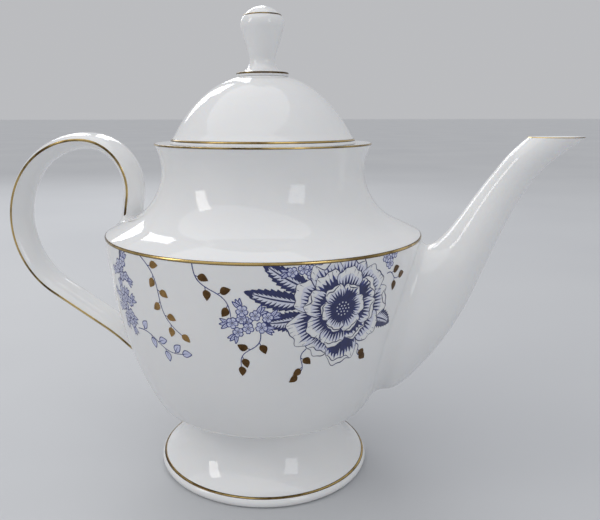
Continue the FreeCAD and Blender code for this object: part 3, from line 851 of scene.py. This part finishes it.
def petal(spray, base, aim, length, spread, hidden, dark, lip):
    """A fan-shaped petal with a wavy rim. hidden is how far out from its base other petals cover it; an
    engraved fringe shades it from there to about the share dark of the way. lip is how deep the rim folds."""
    draw = spray.random
    aim, spread = math.radians(aim), math.radians(spread)
    phase = draw.uniform(0, 6.28)

    def rim(share):
        bend = 1 - 0.25 * np.abs(share) ** 3.4
        wave = 1 + 0.030 * np.sin(6.2 * share + phase) + 0.016 * np.sin(13 * share + 2 * phase)
        return length * bend * wave

    shares = np.linspace(-1, 1, 33)
    angles = aim + spread * shares
    edge = polar(base, rim(shares), angles)
    spray.shape("mist", np.vstack([[base], edge]))
    inner = polar(base, hidden + (rim(shares) - hidden) * 0.66, angles)
    spray.shape(BARE, np.vstack([inner[4:-4], edge[4:-4][::-1]]))
    count = max(7, int(spread * (hidden + length) / 1.4))
    roots = (dark * 0.14, dark * 0.42) if dark < 0.75 else (0.34, 0.58)
    pale_tips, dark_tips = (dark * 0.85, dark + 0.14), (dark * 0.62, dark + 0.06)
    fringe(spray, "line", base, aim, spread * 0.97, rim, hidden, roots, pale_tips, count)
    fringe(spray, "cobalt", base, aim, spread * 0.98, rim, hidden, roots, dark_tips, count)
    for step in range(count):
        share = -1 + 2 * (step + draw.uniform(0.2, 0.8)) / count
        if abs(share) > 0.92 or draw.random() < 0.4:
            continue
        shown = rim(share) - hidden
        reach = np.array([draw.uniform(0.90, 0.97), draw.uniform(0.70, 0.84)])
        spray.stroke("line", polar(base, hidden + shown * reach, aim + spread * share), [0.22, 0.02])
    if lip:
        first, last = sorted((draw.randint(2, 12), draw.randint(20, 31)))
        fold = np.sin(np.linspace(0, math.pi, last - first + 1)) ** 0.7
        under = polar(base, rim(shares[first:last + 1]) * (1 - lip * fold), angles[first:last + 1])
        spray.shape(BARE, np.vstack([under, edge[first:last + 1][::-1]]))
        spray.stroke("cobalt", under, 0.12 + 0.30 * fold)
    sides = np.vstack([base * 0.6 + edge[0] * 0.4, edge, base * 0.6 + edge[-1] * 0.4])
    spray.stroke("cobalt", sides, 0.32 + 0.12 * np.sin(np.linspace(0, 9, len(sides)) + phase))


# The peony's rings of petals, outermost first: count, length, half spread, covered length, shading's reach.
PEONY = [(9, 22.4, 24, 13.2, 0.62), (8, 15.8, 27, 8.2, 0.70), (6, 9.8, 34, 4.2, 0.62)]


def peony(spray, centre):
    """Rings of petals round a dark eye with pale stamens. In each ring every second petal lies on top."""
    draw = spray.random
    centre = np.array(centre, float)
    for ring, (count, length, spread, hidden, dark) in enumerate(PEONY):
        for place in [*range(0, count, 2), *range(1, count, 2)]:
            aim = 31 * ring + 360 * place / count + draw.uniform(-5, 5)
            reach = length * draw.uniform(0.92, 1.08)
            shade = dark + draw.uniform(-0.10, 0.16)
            petal(spray, centre, aim, reach, spread, hidden, shade, draw.choice((0.0, 0.10, 0.13)))
    angles = np.linspace(0, 2 * math.pi, 61)[:-1]
    spray.shape("cobalt", polar(centre, 4.6 + 0.6 * np.sin(15 * angles), angles))
    for ring_size, count in ((0.0, 1), (1.3, 6), (2.6, 11)):
        for step in range(count):
            spot = polar(centre, ring_size, 2 * math.pi * step / count)
            spray.shape("mist", polar(spot, 0.30, np.linspace(0, 2 * math.pi, 9)[:-1]))


def blossom(spray, centre, size, turn, line):
    """A small five-petalled flower with an outlined, notched rim and a star at its heart. line is how far the
    outline reaches inward."""
    angle = np.linspace(0, 2 * math.pi, 51)[:-1]
    wave = np.abs(np.cos(2.5 * (angle - turn)))
    rad = size * (0.50 + 0.50 * wave ** 0.55 - 0.09 * wave ** 12)
    spray.shape("line", polar(centre, rad + 0.22, angle))
    spray.shape("wash", polar(centre, rad - line, angle))
    for step in range(5):
        place = turn + 2 * math.pi * step / 5
        spray.shape("mist", polar(polar(centre, size * 0.62, place), size * 0.16, angle[::6]))
        spray.stroke("line", polar(centre, np.array([0.30, 0.60]) * size, place), [0.30, 0.04])
        notch = turn + 2 * math.pi * (step + 0.5) / 5
        spray.stroke("line", polar(centre, np.array([0.22, 0.6]) * size, notch), [0.18, 0.34])
    spray.shape("cobalt", polar(centre, size * 0.22, np.linspace(0, 2 * math.pi, 11)[:-1]))
    spray.shape("mist", polar(centre, size * 0.09, np.linspace(0, 2 * math.pi, 7)[:-1]))


def leaf_edge(base, aim, length, width, lean):
    """Both edges of a pointed leaf, from its base to its tip, as two rows of points, and its midrib."""
    aim = math.radians(aim)
    share = np.linspace(0, 1, 13)
    swell = np.sin(math.pi * share ** 0.75) ** 0.9 * width / 2
    middle = np.stack([share * length, lean * np.sin(math.pi * share)], -1)
    turn = np.array([[math.cos(aim), math.sin(aim)], [-math.sin(aim), math.cos(aim)]])
    up = np.stack([middle[:, 0], middle[:, 1] + swell], -1)
    down = np.stack([middle[:, 0], middle[:, 1] - swell], -1)
    return [np.array(base) + row @ turn for row in (up, down, middle)]


def outlined_leaf(spray, base, aim, length, width, lean):
    """A pale leaf with an outline and most of a midrib."""
    up, down, middle = leaf_edge(base, aim, length, width, lean)
    spray.shape("wash", np.vstack([up, down[::-1][1:-1]]))
    spray.stroke("line", up, 0.38)
    spray.stroke("line", down, 0.38)
    spray.stroke("line", middle[:9], np.linspace(0.38, 0.08, 9))


def gilt_leaf(spray, base, aim, length, width, ink):
    """A vine's leaf, plump, with one drawn-out tip."""
    up, down, _ = leaf_edge(base, aim, length, width, 0.35)
    spray.shape(ink, np.vstack([up, down[::-1][1:-1]]))


def dark_leaf(spray, base, tip, width, lean):
    """A serrated cobalt leaf with a flame-edged patch left open on each side of its midrib, wider on one."""
    draw = spray.random
    length = float(np.hypot(*(tip - base)))
    ahead = (tip - base) / length
    across = np.array([-ahead[1], ahead[0]])

    def place(share, out):
        """A point at a share of the leaf's length and a share of its half width there."""
        half = 1.25 * width * share ** 0.55 * (1 - share) ** 0.8
        return base + ahead * share * length + across * (lean * math.sin(math.pi * share) + out * half)

    edges = []
    for side in (1, -1):
        edge = []
        for index in range(31):
            share = index / 30
            tooth = (0.0, 0.10, 0.24)[index % 3] * math.sin(math.pi * share) ** 0.5
            edge.append(place(share, side * (1 + tooth)) + ahead * 2.2 * tooth)
        edges.append(edge)
    spray.shape("cobalt", np.vstack([edges[0], edges[1][::-1][1:-1]]))
    for side, bright in ((1, 0.86), (-1, 0.50)):
        inner = [place(share, side * 0.10) for share in np.linspace(0.16, 0.86, 12)]
        flames = []
        for share in np.linspace(0.16, 0.74, 9):
            flames.append(place(share, side * draw.uniform(0.14, 0.30)))
            flames.append(place(share + 0.05, side * bright * 0.62))
            flames.append(place(share + 0.11, side * bright * draw.uniform(0.82, 1.0)))
            flames.append(place(share + 0.085, side * bright * 0.50))
        spray.shape("mist", np.vstack([inner, flames[::-1]]))
    rib = np.array([place(share, 0.0) for share in np.linspace(0, 0.96, 14)])
    spray.stroke("cobalt", rib, np.linspace(0.6, 0.12, len(rib)))


SPIRAL_TURN = math.radians(137.5)
VINE_ROWS = 32
VINE_LEAF_TURN = 52
VINE_STALK = 1.1


def stem(spray, points, thick):
    curve = smooth_through(points, 8 * (len(points) - 1) + 1)
    spray.stroke("cobalt", curve, np.linspace(thick, thick * 0.7, len(curve)))


def cluster(spray, centre, count, size, stretch, line):
    """Blossoms in a spiral over dark gaps, with narrow leaves sticking out between them. stretch widens the
    spiral sideways and upward."""
    draw = spray.random
    spots = []
    for index in range(count):
        place = polar((0, 0), size * math.sqrt(index), SPIRAL_TURN * index)
        spots.append(place * stretch)
    for out in spots:
        if np.hypot(*out) > 1.5 * size:
            aim = math.degrees(math.atan2(out[1], out[0]))
            for lean in (-26, 4, 33):
                base = polar(centre + out, size * 0.5, math.radians(aim))
                turn = aim + lean + draw.uniform(-8, 8)
                outlined_leaf(spray, base, turn, size * 1.75, size * 0.62, 0.1)
    for out in spots:
        gap = np.linspace(0, 2 * math.pi, 13)[:-1]
        spray.shape("cobalt", polar(centre + out, size * 0.82, gap))
    for out in spots:
        blossom(spray, centre + out, size * draw.uniform(0.9, 1.08), draw.uniform(0, 1.2), line)


def vine(spray, start, aim, length, sway, count, ink):
    """A stem that sways to one side and then the other, with leaves on either side by turns and one at its
    end."""
    share = np.linspace(0, 1, VINE_ROWS + 1)
    ahead = polar((0, 0), 1.0, math.radians(aim))
    across = np.array([-ahead[1], ahead[0]])
    aside = np.outer(sway * np.sin(2 * math.pi * share), across)
    points = start + np.outer(share * length, ahead) + aside
    spray.stroke("line", points, np.linspace(0.42, 0.30, len(points)))
    for index in range(count):
        row = round(VINE_ROWS * (index + 1) / count)
        run = points[row] - points[row - 1]
        turn = math.degrees(math.atan2(run[1], run[0]))
        foot = points[row]
        if index < count - 1:
            turn += VINE_LEAF_TURN * (-1) ** index
            foot = polar(points[row], VINE_STALK, math.radians(turn))
            spray.stroke("line", [points[row], foot], 0.3)
        if ink == "wash":
            outlined_leaf(spray, foot, turn, 4.6, 3.0, 0.3)
        else:
            gilt_leaf(spray, foot, turn, 4.4, 3.1, ink)


FLOWER = (37.0, 94.2)
# The vines: start, heading, length, sway, number of leaves, the leaves' ink.
VINES = [
    # The first vine's leaves take the lighter gold ink: painted light.
    ((-45, 113.2), -60, 35, 2.4, 7, "painted_lit_gold"),
    ((-20, 113.2), -56, 25, -2.2, 5, "gold"),
    ((-54, 80.5), -14, 26, 1.6, 6, "wash"),
    ((5, 87), -118, 17, 1.6, 4, "gold"),
    ((23, 79), -104, 12, -1.2, 3, "gold"),
    ((46, 78), -62, 7, 0.7, 2, "gold"),
    ((58, 105), -18, 9, 0.9, 3, "gold"),
]
# The dark stems: points, width.
STEMS = [
    ([(-59, 113.2), (-60.5, 105), (-62.5, 97), (-61, 90)], 1.5),
    ([(6, 90), (13, 88.5), (20, 88)], 0.6),
]
# The dark leaves round the flower: heading from its middle, distance of the base and of the tip from there.
DARK_LEAVES = [(148, 16, 37), (167, 16, 39), (187, 15, 31), (-22, 15, 31)]
# The clusters: centre, number of blossoms, their size, the spiral's stretch, how heavily they are outlined.
CLUSTERS = [
    ((0, 91), 9, 2.3, (1.25, 0.8), 0.17),
    ((23, 110.4), 5, 2.1, (1.6, 0.5), 0.17),
    ((59, 110.8), 4, 2.2, (1.3, 0.6), 0.17),
    ((-60, 105), 6, 2.4, (0.8, 0.95), 0.42),
    ((-61, 89), 11, 2.4, (0.75, 1.1), 0.42),
]


def draw_spray():
    """A big flower on the spout's side with leaves fanned behind it, and vines and blossoms on the handle's
    side. What is drawn above SPRAY_TOP is left bare."""
    spray = Spray()
    for course in VINES:
        vine(spray, *course)
    for points, thick in STEMS:
        stem(spray, points, thick)
    for aim, near, far in DARK_LEAVES:
        turn = math.radians(aim)
        dark_leaf(spray, polar(FLOWER, near, turn), polar(FLOWER, far, turn), 6.8, 0.6)
    for course in CLUSTERS:
        cluster(spray, *course)
    peony(spray, FLOWER)
    above = SPRAY_TOP + 30
    spray.shape(BARE, [(-90, SPRAY_TOP), (90, SPRAY_TOP), (90, above), (-90, above)])
    return spray


def flatten(spray):
    """Triangles of what shows of each ink, from the overlapping shapes."""
    points, faces, inks = [], [], []
    for ink, shape in spray.shapes:
        faces.append(list(range(len(points), len(points) + len(shape))))
        points += [Vector(point) for point in shape]
        inks.append(ink)
    # A grid of loose points keeps the triangles small enough to follow the round wall.
    for x in np.arange(-SPRAY_REACH, SPRAY_REACH, SPRAY_GRID):
        for y in np.arange(SPRAY_LOW, SPRAY_TOP, SPRAY_GRID):
            points.append(Vector((x, y)))
    flat, _, triangles, _, _, sources = delaunay_2d_cdt(points, [], faces, 1, 1e-4)
    sorted_faces = {}
    for triangle, source in zip(triangles, sources):
        if source:
            ink = inks[max(source)]
            if ink != BARE:
                sorted_faces.setdefault(ink, []).append(triangle)
    return flat, sorted_faces


# Each ink's material, slot and lift off the glaze.
INKS = {
    "cobalt": (cobalt, "porcelain", INK_PROUD),
    "line": (line_blue, "porcelain", INK_PROUD),
    "wash": (wash_blue, "porcelain", INK_PROUD),
    "mist": (mist_blue, "porcelain", INK_PROUD),
    "gold": (gold_leaf, "gilding", LEAF_PROUD),
    # The lighter gold ink: painted light.
    "painted_lit_gold": (gold_leaf_painted_lit, "gilding", LEAF_PROUD),
}


def print_spray(spray):
    """Lays the spray on the wall, once on the front and once turned half round, one piece for each ink."""
    flat, sorted_faces = flatten(spray)
    flat = np.array([tuple(point) for point in flat])
    for side, turn in (("front", 0.0), ("back", math.pi)):
        for ink, triangles in sorted_faces.items():
            used = sorted({corner for triangle in triangles for corner in triangle})
            number = {corner: index for index, corner in enumerate(used)}
            x, y = flat[used].T
            angle = SPRAY_MIDDLE + turn + x / SPRAY_SCALE
            normals = wall_normal(angle, y)
            rad = wall_rad(y)
            material, slot, lift = INKS[ink]
            points = np.stack([rad * np.cos(angle), rad * np.sin(angle), y], -1) + normals * lift
            faces = [[number[corner] for corner in triangle] for triangle in triangles]
            new_piece(f"spray_{side}_{ink}", points, faces, material, "pot", (), normals)


print_spray(draw_spray())


# The floor and the light.

FLOOR_REACH = 30.0
SKY_COLOUR = (0.89, 0.90, 0.93, 1)
SKY_STRENGTH = 0.56
LIT_PLACE = (0, 0, 0.1)
# The soft boxes, all aimed at the pot: name, place, width and height, power, colour.
SOFT_BOXES = [
    ("back_left", (-0.85, 0.95, 0.85), 0.3, 0.7, 1.9, (0.97, 0.98, 1.0)),
    ("back_middle", (-0.35, 0.95, 0.85), 0.3, 0.7, 1.9, (0.97, 0.98, 1.0)),
    ("fill", (0.9, -0.7, 0.62), 0.35, 0.6, 1.2, (0.95, 0.97, 1.0)),
    ("left", (-0.8, -0.55, 0.66), 0.24, 0.5, 1.4, (1.0, 0.98, 0.95)),
]
CEILING_POWER = 0.78
CEILING_SPREAD = math.radians(75)
CEILING_TURN = (math.radians(8), math.radians(-12), 0)


def add_floor():
    mesh = bpy.data.meshes.new("floor")
    corners = [(-1, -1), (1, -1), (1, 1), (-1, 1)]
    mesh.from_pydata([(FLOOR_REACH * x, FLOOR_REACH * y, 0) for x, y in corners], [], [[0, 1, 2, 3]])
    floor = bpy.data.objects.new("floor", mesh)
    material, nodes, links, shader = new_material("floor")
    stops = [(0.3, (0.52, 0.53, 0.55)), (0.7, (0.56, 0.57, 0.585))]
    links.new(ramp(nodes, links, noise(nodes, links, 3, 2), stops), shader.inputs["Base Color"])
    shader.inputs["Roughness"].default_value = 0.55
    mesh.materials.append(material)
    bpy.context.scene.collection.objects.link(floor)


def add_sky():
    world = bpy.data.worlds.new("world")
    bpy.context.scene.world = world
    world.use_nodes = True
    background = world.node_tree.nodes["Background"]
    background.inputs["Color"].default_value = SKY_COLOUR
    background.inputs["Strength"].default_value = SKY_STRENGTH


def add_soft_box(name, place, wide, tall, power, colour):
    data = bpy.data.lights.new(name, "AREA")
    data.shape = "RECTANGLE"
    data.size = wide
    data.size_y = tall
    data.energy = power
    data.color = colour
    light = bpy.data.objects.new(name, data)
    light.location = place
    light.rotation_euler = (Vector(LIT_PLACE) - Vector(place)).to_track_quat("-Z", "Y").to_euler()
    bpy.context.scene.collection.objects.link(light)


def add_ceiling():
    """A very wide sun, as soft as a pale ceiling."""
    data = bpy.data.lights.new("ceiling", "SUN")
    data.energy = CEILING_POWER
    data.angle = CEILING_SPREAD
    ceiling = bpy.data.objects.new("ceiling", data)
    ceiling.rotation_euler = CEILING_TURN
    bpy.context.scene.collection.objects.link(ceiling)


add_floor()
add_sky()
for soft_box in SOFT_BOXES:
    add_soft_box(*soft_box)
add_ceiling()
bpy.context.scene.view_settings.view_transform = "Standard"
